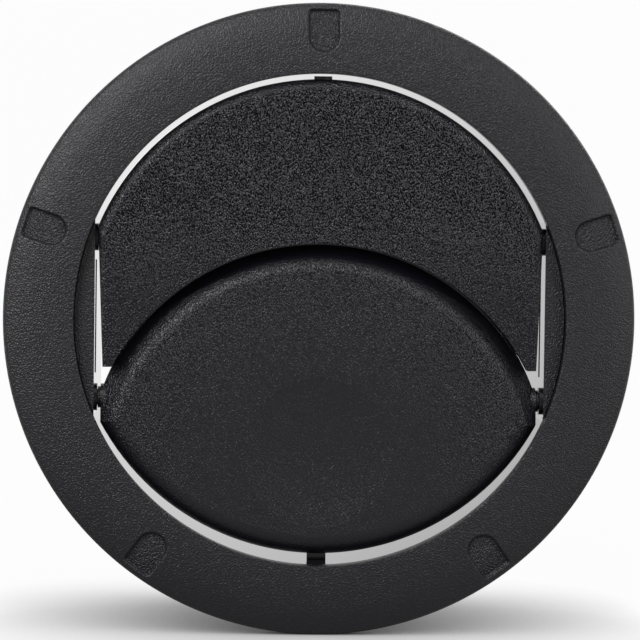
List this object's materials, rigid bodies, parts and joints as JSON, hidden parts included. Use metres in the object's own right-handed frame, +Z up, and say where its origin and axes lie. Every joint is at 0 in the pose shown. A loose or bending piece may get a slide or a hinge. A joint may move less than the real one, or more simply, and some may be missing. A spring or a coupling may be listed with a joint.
{
  "type": "dashboard air vent",
  "caption": "Round dashboard air vent: a grip bezel on a turning barrel, with overlapping crescent and lens flaps that tilt open, in a clip-in housing with a hose spigot.",
  "frame": {"origin": "on the vent's axis, at the front surface of the panel that it is clipped into", "axes": "+Y along the axis into the dashboard, +Z up, +X right as seen from in front of the vent"},
  "size_m": [0.093, 0.0433, 0.093],
  "materials": {
    "grained_plastic": "black moulded plastic with a fine leather grain",
    "polished_plastic": "black moulded plastic from a polished mould",
    "plain_plastic": "black moulded plastic, satin",
    "bush_plastic": "black slippery plastic",
    "foam": "dark closed-cell foam",
    "felt": "dark pressed felt"
  },
  "bodies": {
    "housing": {"duct_housing": "plain_plastic", "panel_gasket": "foam", "friction_washer": "felt"},
    "turning_barrel": {"barrel": "polished_plastic", "bezel_ring": "grained_plastic", "upper_left_bush": "bush_plastic", "upper_right_bush": "bush_plastic", "lower_left_bush": "bush_plastic", "lower_right_bush": "bush_plastic"},
    "upper_flap": {"upper_flap": "grained_plastic"},
    "lower_flap": {"lower_flap": "grained_plastic"}
  },
  "joints": [
    {"name": "barrel_turn", "type": "hinge", "parent": "housing", "child": "turning_barrel", "pos_m": [0, 0, 0], "axis": [0, 1, 0], "continuous": true},
    {"name": "upper_flap_tilt", "type": "hinge", "parent": "turning_barrel", "child": "upper_flap", "pos_m": [0, -0.0004, 0.0118], "axis": [-1, 0, 0], "range_deg": [0, 80]},
    {"name": "lower_flap_tilt", "type": "hinge", "parent": "turning_barrel", "child": "lower_flap", "pos_m": [0, -0.0004, -0.0118], "axis": [-1, 0, 0], "range_deg": [0, 80]}
  ]
}
